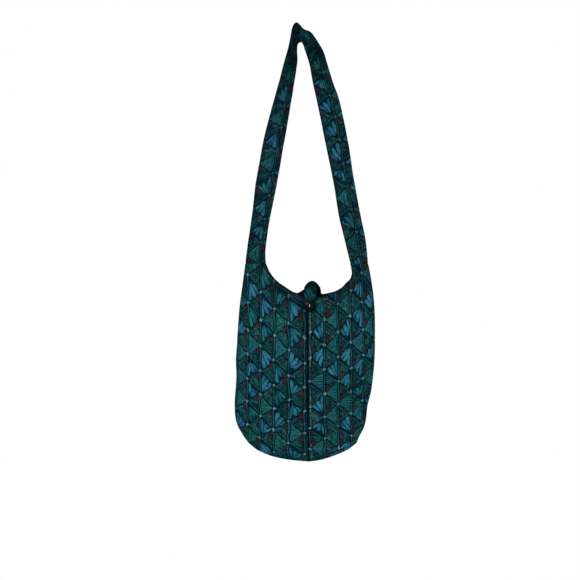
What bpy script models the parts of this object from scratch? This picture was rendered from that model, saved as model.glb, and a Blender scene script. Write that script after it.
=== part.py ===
"""A cotton sling bag that hangs by its strap.

Four cloth panels, left and right halves of the front and of the back, meet in a seam down the middle.
The strap is a doubled band in two pieces, sewn to the panels at its feet and to each other a little past
its top, and it turns flat where it lies over what holds it. A dark lining hangs inside. A cloth tab, sewn
inside the back of the mouth, folds over to the front, where a cord loop at its end goes round a coconut
button.

Metres, +Z up, front towards -Y. The origin is under the top of the strap, where the bag hangs.
"""

import math

import bmesh
import bpy
from mathutils import Matrix, Vector

# Cloth and clearances
CLOTH = 0.0016
LINING_CLOTH = 0.0010
TAB_CLOTH = 0.0020
GAP = 0.0003
LINING_GAP = 0.0006
TAB_GAP = 0.0005
SEAM_GAP = 0.0003
STRAP_JOIN_GAP = 0.0007  # along the middle: the bend there halves it at one edge

# Body, seen from the front
BODY_WIDTH = 0.350
BODY_HEIGHT = 0.417
WIDEST_BELOW_MOUTH = 0.123
SIDE_ROUNDING = 2.1
BOTTOM_ROUNDING = 4.9

# Mouth
MOUTH_RISE = 0.0843
MOUTH_CENTRE_SWEEP = 0.055
MOUTH_SIDE_SWEEP = 0.042

# Strap
STRAP_DROP = 0.677
STRAP_WIDTH = 0.052
STRAP_TOP_WIDTH = 0.038
STRAP_SPREAD = 0.130
STRAP_LEAN = 0.162
STRAP_ARCH = 0.033
STRAP_LEG_SWEEP = 0.360
STRAP_TURN_RUN = 0.150
STRAP_JOIN_BELOW_TOP = 0.048
SHOULDER_FLAT = 0.002

# Belly, how far each side stands out from the middle plane
BELLY = 0.028
BELLY_BELOW_MOUTH = 0.210
BELLY_TOP_POWER = 1.32

# Tab over the mouth
TAB_WIDTH = 0.033
TAB_BACK_X = 0.0235
TAB_FRONT_X = 0.0133
TAB_ROOT = 0.022
TAB_TURN = 0.009
TAB_HEIGHT = 0.0405
TAB_END = 0.0095
TAB_EDGE_DROOP = 0.30
TAB_END_ROUND = 0.005

# Lining ends
LINING_END_WIDTH = 0.006

# Button, its thread and the cord loop
BUTTON_X = 0.0108
BUTTON_BELOW_MOUTH = 0.0225
BUTTON_RADIUS = 0.0130
BUTTON_EDGE = 0.0011
BUTTON_THICK = 0.0035
BUTTON_DISH = 0.0009
BUTTON_DISH_RADIUS = 0.0078
BUTTON_DISH_SLOPE = 0.0026
HOLE_SPACING = 0.0062
HOLE_RADIUS = 0.0014
HOLE_OVERRUN = 0.002
THREAD_RADIUS = 0.0010
THREAD_BEND = 0.0013
LOOP_CORD_RADIUS = 0.0011

# How finely the cloth is divided
COLUMNS = 8
BODY_ROWS = 18
MOUTH_ROWS = 8
STRAP_COLUMNS = 6
STRAP_ROWS = 24
STRAP_JOIN_ROWS = 6
STRAP_ROW_EASE = 1.5
LINING_COLUMNS = 7
LINING_ROWS = 14
LINING_WING_ROWS = 7
TAB_COLUMNS = 6
TAB_ROOT_ROWS = 2
TAB_ARCH_ROWS = 12
TAB_END_ROWS = 2
ROUND_STEPS = 40
DISH_STEPS = 5
RIM_STEPS = 8
THREAD_BEND_STEPS = 6
LOOP_TURN_STEPS = 12
LOOP_LEG_STEPS = 3
CORNER_COLUMN = 0.87
MOUTH_ROW_TILT = 0.7

# Levels and distances that follow
MOUTH_Z = -STRAP_DROP
FOOT_Z = MOUTH_Z + MOUTH_RISE
WIDEST_Z = MOUTH_Z - WIDEST_BELOW_MOUTH
BELLY_Z = MOUTH_Z - BELLY_BELOW_MOUTH
BOTTOM_Z = MOUTH_Z - BODY_HEIGHT
SHOULDER_Z = FOOT_Z + (WIDEST_Z - FOOT_Z) * MOUTH_ROW_TILT
HALF_WIDTH = BODY_WIDTH / 2
EDGE_DEPTH = CLOTH + GAP / 2
SEAM_X = SEAM_GAP / 2
BUTTON_Z = MOUTH_Z - BUTTON_BELOW_MOUTH
SHANK_RADIUS = HOLE_SPACING / 2 + THREAD_RADIUS
SHANK_HEIGHT = 2 * LOOP_CORD_RADIUS + GAP


def lerp(a, b, share):
    return a + (b - a) * share


def bezier(points, t):
    """A point on the cubic curve that these four control points give."""
    s = 1 - t
    weights = (s**3, 3 * s * s * t, 3 * s * t * t, t**3)
    return sum((point * weight for point, weight in zip(points, weights)), Vector((0, 0)))


def bezier_direction(points, t):
    s = 1 - t
    sides = [b - a for a, b in zip(points, points[1:])]
    weights = (s * s, 2 * s * t, t * t)
    return sum((side * weight for side, weight in zip(sides, weights)), Vector((0, 0))).normalized()


def bisect(low, high, is_low):
    """The place between low and high where is_low turns false."""
    for _ in range(50):
        middle = (low + high) / 2
        if is_low(middle):
            low = middle
        else:
            high = middle
    return low


# The strap's middle line on the right, as (x, z) from its top to its foot, where the body begins
STRAP_FOOT = Vector((STRAP_SPREAD, FOOT_Z + SEAM_GAP))
STRAP_LINE = (
    Vector((SHOULDER_FLAT, EDGE_DEPTH)),
    Vector((SHOULDER_FLAT + STRAP_ARCH, EDGE_DEPTH)),
    STRAP_FOOT + Vector((-STRAP_LEAN, 1)).normalized() * STRAP_LEG_SWEEP,
    STRAP_FOOT,
)

# The mouth's edge, from the strap's foot to the middle
MOUTH_CURVE = (
    Vector((STRAP_SPREAD - STRAP_WIDTH / 2, FOOT_Z)),
    Vector((STRAP_SPREAD - STRAP_WIDTH / 2 + STRAP_LEAN * MOUTH_SIDE_SWEEP, FOOT_Z - MOUTH_SIDE_SWEEP)),
    Vector((SEAM_X + MOUTH_CENTRE_SWEEP, MOUTH_Z)),
    Vector((SEAM_X, MOUTH_Z)),
)


def side_x(z):
    """Half the body's width at a level, from the strap's foot down to the bottom."""
    if z < WIDEST_Z:
        share = (WIDEST_Z - z) / (WIDEST_Z - BOTTOM_Z)
        return HALF_WIDTH * max(0, 1 - share**BOTTOM_ROUNDING) ** (1 / SIDE_ROUNDING)
    top_x = STRAP_SPREAD + STRAP_WIDTH / 2
    run = FOOT_Z - WIDEST_Z
    t = (FOOT_Z - z) / run
    start = top_x * (1 + 2 * t) * (1 - t) ** 2 + STRAP_LEAN * run * t * (1 - t) ** 2
    return start + HALF_WIDTH * t * t * (3 - 2 * t)


def bottom_z(x):
    """Level of the bottom edge at a distance from the middle."""
    share = (x / HALF_WIDTH) ** SIDE_ROUNDING
    return WIDEST_Z - (WIDEST_Z - BOTTOM_Z) * (1 - share) ** (1 / BOTTOM_ROUNDING)


def belly_at(z):
    """How far the middle of a side stands out at a level."""
    if z < BELLY_Z:
        share = (BELLY_Z - z) / (BELLY_Z - BOTTOM_Z)
        return BELLY * max(0, 1 - share**2) ** 2
    share = (z - BELLY_Z) / (FOOT_Z - BELLY_Z)
    return BELLY * max(0, 1 - share**2) ** BELLY_TOP_POWER


def half_depth(x, z):
    """Distance from the middle plane to a side's outer face."""
    width = side_x(z)
    if abs(x) >= width:
        return EDGE_DEPTH
    return EDGE_DEPTH + belly_at(z) * (1 - (x / width) ** 2) ** 2


def body_place(across, down):
    """(x, z) in the body below the mouth: across from the seam to the side, down from the mouth."""
    corner_x = HALF_WIDTH * CORNER_COLUMN
    corner = Vector((corner_x, bottom_z(corner_x)))
    low_middle = Vector((SEAM_X, bottom_z(SEAM_X)))
    mouth_middle = Vector((SEAM_X, MOUTH_Z))
    seam = lerp(mouth_middle, low_middle, down)
    side_z = lerp(SHOULDER_Z, corner.y, down)
    side = Vector((side_x(side_z), side_z))
    top = lerp(mouth_middle, Vector((side_x(SHOULDER_Z), SHOULDER_Z)), across)
    bottom_x = lerp(SEAM_X, corner_x, across)
    bottom = Vector((bottom_x, bottom_z(bottom_x)))
    straight = lerp(top, lerp(low_middle, corner, across), down)
    return lerp(top, bottom, down) + lerp(seam, side, across) - straight


def mouth_place(across, up):
    """(x, z) beside the mouth, up from its middle to the strap's foot."""
    inner = bezier(MOUTH_CURVE, 1 - up)
    outer_z = lerp(SHOULDER_Z, FOOT_Z, up)
    return lerp(inner, Vector((side_x(outer_z), outer_z)), across)


def strap_middle(across, down):
    """A point on the right leg's middle surface, from its inner to its outer edge and from its top down.

    The strap faces the front at its foot. Towards its top it turns a quarter round, so that its inner
    edge comes to the front and it lies flat on what holds it.
    """
    centre = bezier(STRAP_LINE, down)
    along = bezier_direction(STRAP_LINE, down)
    lean = math.atan2(along.x, -along.y) - math.atan(STRAP_LEAN) * down
    below_turn = min(1, centre.length / STRAP_TURN_RUN)
    turn = math.radians(45) * (1 + math.cos(math.pi * below_turn))
    width = lerp(STRAP_TOP_WIDTH, STRAP_WIDTH, math.sin(math.pi / 2 * below_turn))
    inwards = Vector((-math.cos(lean), 0, -math.sin(lean)))
    to_inner = inwards * math.cos(turn) + Vector((0, -1, 0)) * math.sin(turn)
    return Vector((centre.x, 0, centre.y)) + to_inner * width * (0.5 - across)


def strap_normal(across, down):
    """The way the strap's front faces there."""
    step = 0.002
    left, right = max(0, across - step), min(1, across + step)
    above, below = max(0, down - step), min(1, down + step)
    widthways = strap_middle(right, down) - strap_middle(left, down)
    upwards = strap_middle(across, above) - strap_middle(across, below)
    return widthways.cross(upwards).normalized()


def strap_share_at(z):
    """How far down its middle line the strap comes to a level."""
    return bisect(0, 1, lambda down: bezier(STRAP_LINE, down).y > z)


def collection(name):
    made = bpy.data.collections.new(name)
    bpy.context.scene.collection.children.link(made)
    return made


def material(name, colour, roughness, metallic=0.0):
    made = bpy.data.materials.new(name)
    made.use_nodes = True
    shader = made.node_tree.nodes["Principled BSDF"]
    shader.inputs["Base Color"].default_value = (*colour, 1)
    shader.inputs["Roughness"].default_value = roughness
    shader.inputs["Metallic"].default_value = metallic
    return made


def place_object(name, mesh, finish, home):
    made = bpy.data.objects.new(name, mesh)
    made.data.materials.append(finish)
    home.objects.link(made)
    return made


def sheet(name, columns, rows, place, flip, finish, home):
    """An open sheet: a grid whose points are put in place by a function of share across and row."""
    grid = bmesh.new()
    bmesh.ops.create_grid(grid, x_segments=columns, y_segments=rows, size=0.5)
    for vert in grid.verts:
        vert.co = place(vert.co.x + 0.5, round((vert.co.y + 0.5) * rows))
    bmesh.ops.triangulate(grid, faces=grid.faces, quad_method="FIXED")
    if flip:
        bmesh.ops.reverse_faces(grid, faces=grid.faces)
    mesh = bpy.data.meshes.new(name)
    grid.to_mesh(mesh)
    grid.free()
    mesh.shade_smooth()
    return place_object(name, mesh, finish, home)


def thicken(piece, thickness):
    """Cloth of this thickness, inwards from the sheet."""
    shell = piece.modifiers.new("Cloth", "SOLIDIFY")
    shell.thickness = thickness
    shell.offset = -1


def panel(name, side, face, finish, home):
    """Half of the front or back. side is 1 to the right and -1 to the left, face 1 in front and -1 behind."""

    def place(across, row):
        if row <= BODY_ROWS:
            x, z = body_place(across, 1 - row / BODY_ROWS)
        else:
            x, z = mouth_place(across, (row - BODY_ROWS) / MOUTH_ROWS)
        return Vector((side * x, -face * half_depth(x, z), z))

    thicken(sheet(name, COLUMNS, BODY_ROWS + MOUTH_ROWS, place, side * face < 0, finish, home), CLOTH)


def strap(name, stations, flip, finish, home):
    """A doubled band along these stations, each a side of the strap and a share of the way down it."""

    def place(across, row):
        side, down = stations[row]
        point = strap_middle(across, down) + strap_normal(across, down) * EDGE_DEPTH
        return Vector((side * point.x, point.y, point.z))

    band = sheet(name, STRAP_COLUMNS, len(stations) - 1, place, flip, finish, home)
    thicken(band, 2 * EDGE_DEPTH)


def straps(finish, home):
    """The long piece, up from the left foot and over the top, and the short one up from the right foot."""
    above = strap_share_at(-STRAP_JOIN_BELOW_TOP + STRAP_JOIN_GAP / 2)
    below = strap_share_at(-STRAP_JOIN_BELOW_TOP - STRAP_JOIN_GAP / 2)
    climb = [1 - row / STRAP_ROWS for row in range(STRAP_ROWS + 1)]
    left = [(-1, share**STRAP_ROW_EASE) for share in climb]
    left += [(1, above * row / STRAP_JOIN_ROWS) for row in range(STRAP_JOIN_ROWS + 1)]
    right = [(1, lerp(below, 1, share**STRAP_ROW_EASE)) for share in climb]
    strap("strap_left", left, True, finish, home)
    strap("strap_right", right, False, finish, home)


def lining_edge_x(z):
    """Where the lining ends, because the front and back close on each other there."""
    needed = LINING_GAP + LINING_CLOTH + GAP
    belly = belly_at(z)
    if belly <= needed:
        return 0
    return side_x(z) * math.sqrt(1 - math.sqrt(needed / belly))


def lining(name, face, finish, home):
    """One side of the dark lining, hanging just inside its panels."""
    low_z = bisect(BOTTOM_Z, BELLY_Z, lambda z: lining_edge_x(z) < LINING_END_WIDTH)

    def open_there(up):
        spot = bezier(MOUTH_CURVE, 1 - up)
        return lining_edge_x(spot.y) > spot.x + LINING_END_WIDTH

    wing = bisect(0, 1, open_there)

    def place(across, row):
        if row <= LINING_ROWS:
            z = lerp(low_z, MOUTH_Z, 1 - math.cos(math.pi / 2 * row / LINING_ROWS))
            inner_x = 0
        else:
            spot = bezier(MOUTH_CURVE, 1 - wing * (row - LINING_ROWS) / LINING_WING_ROWS)
            inner_x, z = spot
        x = lerp(inner_x, lining_edge_x(z), across)
        return Vector((x, -face * (half_depth(x, z) - CLOTH - LINING_GAP), z))

    rows = LINING_ROWS + LINING_WING_ROWS
    piece = sheet(name, LINING_COLUMNS, rows, place, face < 0, finish, home)
    mirror = piece.modifiers.new("Other half", "MIRROR")
    mirror.merge_threshold = 0.00001
    thicken(piece, LINING_CLOTH)


def tab(name, finish, home):
    """The closing tab: up inside the back of the mouth, over, and down on the front."""
    turn_z = MOUTH_Z + TAB_TURN
    rise = TAB_HEIGHT - TAB_TURN
    inside = CLOTH + LINING_GAP + LINING_CLOTH + TAB_GAP
    outside = TAB_GAP + TAB_CLOTH

    def place(across, row):
        sideways = 2 * across - 1
        if row <= TAB_ROOT_ROWS:
            x = TAB_BACK_X + sideways * TAB_WIDTH / 2
            z = lerp(MOUTH_Z - TAB_ROOT, turn_z, row / TAB_ROOT_ROWS)
            return Vector((x, half_depth(x, z) - inside, z))
        row -= TAB_ROOT_ROWS
        if row <= TAB_ARCH_ROWS:
            t = row / TAB_ARCH_ROWS
            x = lerp(TAB_BACK_X, TAB_FRONT_X, t * t * (3 - 2 * t)) + sideways * TAB_WIDTH / 2
            back_x = TAB_BACK_X + sideways * TAB_WIDTH / 2
            front_x = TAB_FRONT_X + sideways * TAB_WIDTH / 2
            back_y = half_depth(back_x, turn_z) - inside
            front_y = -half_depth(front_x, turn_z) - outside
            handle = rise / 0.75 * (1 - TAB_EDGE_DROOP * sideways**2)
            arch = (
                Vector((back_y, turn_z)),
                Vector((back_y, turn_z + handle)),
                Vector((front_y, turn_z + handle)),
                Vector((front_y, turn_z)),
            )
            y, z = bezier(arch, t)
            return Vector((x, y, z))
        row -= TAB_ARCH_ROWS
        x = TAB_FRONT_X + sideways * TAB_WIDTH / 2
        end_z = MOUTH_Z - TAB_END + TAB_END_ROUND * sideways**4
        z = lerp(turn_z, end_z, row / TAB_END_ROWS)
        return Vector((x, -half_depth(x, z) - outside, z))

    rows = TAB_ROOT_ROWS + TAB_ARCH_ROWS + TAB_END_ROWS
    thicken(sheet(name, TAB_COLUMNS, rows, place, True, finish, home), TAB_CLOTH)


def button_frame():
    """The button's place on the cloth: its local Z points out of the bag, and its local Y upwards."""
    step = 0.004
    origin = Vector((BUTTON_X, -half_depth(BUTTON_X, BUTTON_Z), BUTTON_Z))
    slope = (half_depth(BUTTON_X, BUTTON_Z + step) - half_depth(BUTTON_X, BUTTON_Z - step)) / (2 * step)
    out = Vector((0, -1, -slope)).normalized()
    right = Vector((1, 0, 0))
    up = out.cross(right)
    turned = Matrix((right, up, out)).transposed().to_4x4()
    return Matrix.Translation(origin) @ turned


def turned_mesh(name, profile):
    """A profile of (radius, height) points, from the top at the axis round to the bottom at the axis."""
    outline = bmesh.new()
    verts = [outline.verts.new((radius, 0, height)) for radius, height in profile]
    for a, b in zip(verts, verts[1:]):
        outline.edges.new((a, b))
    mesh = bpy.data.meshes.new(name)
    outline.to_mesh(mesh)
    outline.free()
    return mesh


def cylinder(name, radius, low, high, centre, finish, home, steps=24):
    made = bmesh.new()
    spot = Matrix.Translation((centre[0], centre[1], (low + high) / 2))
    bmesh.ops.create_cone(
        made, cap_ends=True, segments=steps, radius1=radius, radius2=radius, depth=high - low, matrix=spot
    )
    mesh = bpy.data.meshes.new(name)
    made.to_mesh(mesh)
    made.free()
    return place_object(name, mesh, finish, home)


def button(name, finish, home, cutters):
    """A coconut shell button: a turned disc with a raised rim, a dished middle and two holes."""
    back = SHANK_HEIGHT + GAP
    front = back + BUTTON_THICK
    dish = front - BUTTON_DISH
    dish_flat = BUTTON_DISH_RADIUS - BUTTON_DISH_SLOPE
    profile = [(0, dish), (dish_flat, dish)]
    for step in range(1, DISH_STEPS + 1):
        share = step / DISH_STEPS
        ease = share * share * (3 - 2 * share)
        profile.append((lerp(dish_flat, BUTTON_DISH_RADIUS, share), lerp(dish, front, ease)))
    for step in range(RIM_STEPS + 1):
        angle = math.pi / 2 - math.pi * step / RIM_STEPS
        middle_z = (front + back) / 2
        radius = BUTTON_RADIUS - BUTTON_EDGE + BUTTON_EDGE * math.cos(angle)
        profile.append((radius, middle_z + BUTTON_THICK / 2 * math.sin(angle)))
    profile.append((0, back))
    made = place_object(name, turned_mesh(name, profile), finish, home)
    made.matrix_world = button_frame()
    screw = made.modifiers.new("Turned", "SCREW")
    screw.steps = ROUND_STEPS
    screw.render_steps = ROUND_STEPS
    screw.use_merge_vertices = True
    screw.merge_threshold = 0.00001
    for side, word in ((1, "upper"), (-1, "lower")):
        centre = (0, side * HOLE_SPACING / 2)
        low, high = back - HOLE_OVERRUN, front + HOLE_OVERRUN
        hole = cylinder(f"{word}_hole", HOLE_RADIUS, low, high, centre, finish, cutters)
        hole.matrix_world = button_frame()
        hole.hide_render = True
        hole.display_type = "WIRE"
        cut = made.modifiers.new(f"{word} hole", "BOOLEAN")
        cut.operation = "DIFFERENCE"
        cut.solver = "EXACT"
        cut.object = hole


def tube(name, points, radius, finish, home):
    """A cord through these points, with closed ends."""
    line = bpy.data.curves.new(name, "CURVE")
    line.dimensions = "3D"
    line.bevel_depth = radius
    line.bevel_resolution = 2
    line.use_fill_caps = True
    spline = line.splines.new("POLY")
    spline.points.add(len(points) - 1)
    for knot, point in zip(spline.points, points):
        knot.co = (*point, 1)
    return place_object(name, line, finish, home)


def as_mesh(curve, home):
    """The same piece as a mesh with its caps joined to its sides, for a Boolean."""
    bpy.context.view_layer.update()
    mesh = bpy.data.meshes.new_from_object(curve.evaluated_get(bpy.context.evaluated_depsgraph_get()))
    welded = bmesh.new()
    welded.from_mesh(mesh)
    bmesh.ops.remove_doubles(welded, verts=welded.verts, dist=0.00001)
    welded.to_mesh(mesh)
    welded.free()
    name = curve.name
    matrix = curve.matrix_world.copy()
    bpy.data.objects.remove(curve)
    made = bpy.data.objects.new(name, mesh)
    made.matrix_world = matrix
    home.objects.link(made)
    return made


def thread(name, finish, home, cutters):
    """The thread: a wound shank between cloth and button, and the stitch through the two holes."""
    dish = SHANK_HEIGHT + GAP + BUTTON_THICK - BUTTON_DISH
    over = dish + GAP + THREAD_RADIUS
    path = [Vector((0, -HOLE_SPACING / 2, GAP * 2))]
    for step in range(THREAD_BEND_STEPS + 1):
        angle = math.pi / 2 * step / THREAD_BEND_STEPS
        y = -HOLE_SPACING / 2 + THREAD_BEND * (1 - math.cos(angle))
        path.append(Vector((0, y, over - THREAD_BEND * (1 - math.sin(angle)))))
    path += [Vector((0, -spot.y, spot.z)) for spot in reversed(path)]
    stitch = tube("stitch", path, THREAD_RADIUS, finish, cutters)
    stitch.matrix_world = button_frame()
    stitch = as_mesh(stitch, cutters)
    stitch.hide_render = True
    stitch.display_type = "WIRE"
    shank = cylinder(name, SHANK_RADIUS, GAP, SHANK_HEIGHT, (0, 0), finish, home)
    shank.matrix_world = button_frame()
    joined = shank.modifiers.new("Stitch", "BOOLEAN")
    joined.operation = "UNION"
    joined.solver = "EXACT"
    joined.object = stitch


def loop_cord(name, finish, home):
    """The cord loop: down from the tab's end, round the button's shank and back up."""
    radius = SHANK_RADIUS + GAP + LOOP_CORD_RADIUS
    top_z = MOUTH_Z - TAB_END - TAB_GAP
    leg = [(radius, lerp(top_z, BUTTON_Z, step / LOOP_LEG_STEPS)) for step in range(LOOP_LEG_STEPS)]
    turn = [math.pi * step / LOOP_TURN_STEPS for step in range(LOOP_TURN_STEPS + 1)]
    flat = [(BUTTON_X - reach, z) for reach, z in leg]
    flat += [(BUTTON_X - radius * math.cos(angle), BUTTON_Z - radius * math.sin(angle)) for angle in turn]
    flat += [(BUTTON_X + reach, z) for reach, z in reversed(leg)]
    points = [Vector((x, -half_depth(x, z) - GAP - LOOP_CORD_RADIUS, z)) for x, z in flat]
    tube(name, points, LOOP_CORD_RADIUS, finish, home)


def main():
    for old in list(bpy.data.objects):
        bpy.data.objects.remove(old)
    bag = collection("sling_bag")
    cutters = collection("cutters")
    print_cloth = material("printed cotton", (0.011, 0.048, 0.060), 0.85)
    dark_cloth = material("dark lining cotton", (0.008, 0.007, 0.016), 0.9)
    shell = material("coconut shell", (0.020, 0.013, 0.011), 0.35)
    pale_thread = material("pale thread", (0.40, 0.42, 0.40), 0.7)
    grey_cord = material("grey green cord", (0.10, 0.15, 0.14), 0.8)
    for face, word in ((1, "front"), (-1, "back")):
        panel(f"{word}_panel_left", -1, face, print_cloth, bag)
        panel(f"{word}_panel_right", 1, face, print_cloth, bag)
        lining(f"{word}_lining", face, dark_cloth, bag)
    straps(print_cloth, bag)
    tab("closing_tab", print_cloth, bag)
    loop_cord("loop_cord", grey_cord, bag)
    button("button", shell, bag, cutters)
    thread("button_thread", pale_thread, bag, cutters)


main()
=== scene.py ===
"""The look of a printed cotton sling bag that hangs by its strap: cloth, tab, button and light."""

import math

import bpy
import numpy as np
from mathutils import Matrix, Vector, noise


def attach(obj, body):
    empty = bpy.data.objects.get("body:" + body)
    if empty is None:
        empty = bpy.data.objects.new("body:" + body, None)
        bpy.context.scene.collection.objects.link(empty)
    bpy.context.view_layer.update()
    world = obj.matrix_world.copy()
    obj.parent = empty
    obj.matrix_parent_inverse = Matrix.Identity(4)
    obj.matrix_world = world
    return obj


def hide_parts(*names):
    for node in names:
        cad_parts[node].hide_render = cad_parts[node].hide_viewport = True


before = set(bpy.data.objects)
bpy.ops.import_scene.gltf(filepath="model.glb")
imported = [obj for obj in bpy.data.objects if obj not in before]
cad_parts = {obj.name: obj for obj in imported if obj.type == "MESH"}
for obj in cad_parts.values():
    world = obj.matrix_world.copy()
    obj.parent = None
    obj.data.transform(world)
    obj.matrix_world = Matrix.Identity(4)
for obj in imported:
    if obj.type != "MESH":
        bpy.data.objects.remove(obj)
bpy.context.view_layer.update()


def metres(table):
    """A table in millimetres, turned into metres."""
    if isinstance(table, tuple):
        return tuple(metres(part) for part in table)
    return table / 1000


# The photograph's frame, the plane of the bag in it and the camera far off, its sensor in millimetres
PIXEL = 0.002536
FRAME_PIXELS = 580
MIDDLE_PIXEL = 305.25
SUPPORT_PIXEL = 30
CAMERA_DISTANCE = 4.0
SENSOR = 36.0

# Cloth, with a hem that is doubled to the first depth and fades to the second
CLOTH = 0.0010
HEM_CLOTH = 0.0022
HEM_DEPTH = (0.0049, 0.0084)
LINING_CLOTH = 0.0007
LINING_GAP = 0.0009
EDGE_DEPTH = 0.00175
TAB_CLOTH = 0.0022
RIM_ROUND = 0.0003

# Body levels and belly, as the CAD has them
MOUTH_Z = -0.677
FOOT_Z = -0.5927
BELLY = 0.028
BELLY_Z = -0.887
BOTTOM_Z = -1.094
BELLY_TOP_POWER = 1.32
# The level on each side where the rows that fan out round the mouth begin
SHOULDER_Z = -0.73781

# The body's outline from the strap's feet down to its bottom corners, and from there to the seam
LEFT_SIDE = metres((
    (-152.3, -592.7), (-159.1, -644.1), (-166.2, -697.4), (-170.5, -748.1), (-173.6, -798.8),
    (-176.2, -839.4), (-174.7, -872.4), (-176.6, -907.9), (-179.2, -951), (-175.6, -991.6),
    (-162.9, -1019.5), (-142.7, -1048.6),
))
LEFT_BOTTOM = metres((
    (9.5, -1094.5), (-13.3, -1092.7), (-43.7, -1089.4), (-84.3, -1080.8), (-119.8, -1065.9),
    (-142.7, -1048.6),
))
RIGHT_SIDE = metres((
    (159.7, -592.7), (164.2, -613.7), (169.3, -644.1), (173.1, -672), (176.4, -715.2), (176.9, -773.5),
    (176.4, -824.2), (172.6, -874.9), (166.7, -918), (157.9, -953.5), (154.6, -984), (149, -1008.1),
    (137.6, -1029.6), (130, -1047.4),
))
RIGHT_BOTTOM = metres((
    (9.5, -1094.5), (32.3, -1091.5), (50.1, -1087.4), (78, -1077.8), (108.4, -1063.9), (130, -1047.4),
))
SEAM = metres(((5.2, -677.1), (5.2, -780), (5.5, -900), (6.8, -1000), (9.5, -1094.5)))

# The mouth's edges from the seam to the strap's feet: the tab draws the back one up in the middle
MOUTH_TABLES = {
    (-1, -1): (
        (5.2, -655.5), (-5.8, -660.5), (-15.5, -669), (-29, -665.2), (-45, -655.2), (-60.2, -644.9),
        (-72.9, -635.3), (-84.8, -621.3), (-95, -604.2), (-99.2, -592.7),
    ),
    (1, -1): (
        (5.2, -655.5), (25, -662.5), (40, -669.6), (61, -666.2), (78, -661.8), (90, -655),
        (102.1, -643.6), (113.4, -632.5), (118, -618.8), (117.2, -604), (114, -592.7),
    ),
    (-1, 1): (
        (5.2, -680.5), (-15.5, -673.8), (-29.8, -667.8), (-45, -657.2), (-60.2, -646.3),
        (-72.9, -636.1), (-84.8, -621.7), (-95, -604.2), (-99.2, -592.7),
    ),
    (1, 1): (
        (5.2, -680.5), (40, -676.8), (61, -670.6), (78, -664.8), (90, -657.2), (102.1, -645.2),
        (113.4, -633), (118, -619), (117.2, -604), (114, -592.7),
    ),
}

# Folds pressed into the body's front: from, to, width and height of each ridge
FRONT_FOLDS = metres((
    ((30, -687), (86, -676), 4, 5),
    ((30, -696.5), (110, -690), 5.2, 4.8),
    ((32, -708), (100, -724), 7, 3.6),
    ((-6, -690), (-58, -672), 4.8, 4),
    ((-10, -702), (-86, -703), 6.5, 4.2),
    ((-4, -714), (-58, -756), 8.5, 3.4),
    ((-128, -599), (-132, -760), 11, 3.6),
    ((-106, -608), (-96, -730), 9, 3),
    ((132, -599), (142, -750), 11, 3.8),
    ((118, -623), (98, -742), 8.5, 3.4),
    ((-158, -820), (-122, -930), 11, 3.2),
    ((152, -920), (104, -1030), 10, 4),
    ((138, -990), (60, -1064), 8, 3.2),
    ((-150, -990), (-60, -1065), 10, 3.4),
    ((-60, -820), (-44, -990), 14, 2.2),
    ((74, -800), (60, -950), 13, 2.4),
))
BACK_FOLDS = metres((
    ((-128, -599), (-120, -770), 12, 3.8),
    ((132, -599), (126, -780), 12, 3.8),
    ((-20, -700), (-90, -760), 11, 3.4),
    ((30, -700), (100, -770), 11, 3.4),
    ((-140, -960), (-50, -1060), 10, 3.6),
    ((140, -970), (60, -1060), 10, 3.4),
    ((-80, -800), (-60, -960), 14, 2.6),
    ((60, -830), (85, -970), 13, 2.6),
))

# The hollow beside a fold: its depth as a share of the fold's height, its place and reach in widths
FOLD_HOLLOW = 0.55
HOLLOW_PLACE = 1.7
HOLLOW_REACH = 2.6

# Strap: each row is a place along it, (inner x, inner y, inner z) and (outer x, outer y, outer z)
STRAP_STATIONS = metres((
    ((-100, 0, -597.5), (-150.5, 0, -597.5)),
    ((-100, 0, -590), (-151.8, 0, -590)),
    ((-101, 0, -564), (-148.8, 0, -565)),
    ((-97.4, -0.5, -532), (-145, 0.5, -534)),
    ((-89.4, -0.5, -480), (-137.6, 0.5, -484)),
    ((-69.1, -1, -377), (-124.9, 1, -384)),
    ((-51.4, -2, -275), (-107.1, 2, -285)),
    ((-33.6, -5, -174), (-81.8, 5, -184)),
    ((-22.5, -10, -103), (-62.8, 10, -115)),
    ((-20.2, -13, -79), (-50, 15, -67)),
    ((-20.2, -15, -62), (-39.5, 18, -33)),
    ((-19.6, -16.5, -49), (-33.2, 19, -4)),
    ((-17.8, -17.5, -41), (-28.4, 19, 15)),
    ((-15.4, -18, -37), (-22.2, 18.5, 24)),
    ((-12.8, -18, -35.5), (-15, 18, 13)),
    ((-10.2, -17.8, -36), (-5.7, 17.5, 3)),
    ((-7.8, -17.2, -38), (4, 17, 0.6)),
    ((-5.2, -16.5, -43), (13, 16, -3)),
    ((-2.2, -15, -52), (22.4, 14, -15)),
    ((2.6, -13.5, -65), (34, 12.5, -32)),
    ((8, -11.5, -83), (46.2, 10.5, -53)),
    ((13, -9, -104), (57.2, 8.5, -85)),
    ((18, -7, -133), (71.5, 6.5, -133)),
    ((29, -4, -180), (86, 4, -174)),
    ((50.1, -2, -284), (107.4, 2, -275)),
    ((70.4, -1, -384), (123.6, 1, -377)),
    ((87.5, -0.5, -484), (142.5, 0.5, -480)),
    ((100, -0.5, -533), (153, 0.5, -530)),
    ((113.6, 0, -590), (159.2, 0, -590)),
    ((116, 0, -597.5), (158, 0, -597.5)),
))
STRAP_WIDTH = 0.052
STRAP_HALF_THICK = 0.0015
STRAP_JOIN_Z = -0.0475
STRAP_FOLDS = 2.3
STRAP_FOLD_HEIGHT = 0.0042
STRAP_ARCH = 0.0095
STRAP_END = 0.03
# How much of its length bunches at the top, how square its edges are, across it and through it, how its
# folds drift from side to side, and how its width varies
STRAP_TOP = 0.11
STRAP_SQUARE = (0.72, 0.6)
STRAP_DRIFT, DRIFT_LENGTH, DRIFT_START = 1.1, 0.09 / 2.1, 0.5
STRAP_SPREAD, SPREAD_LENGTH = 0.03, 0.06
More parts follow.
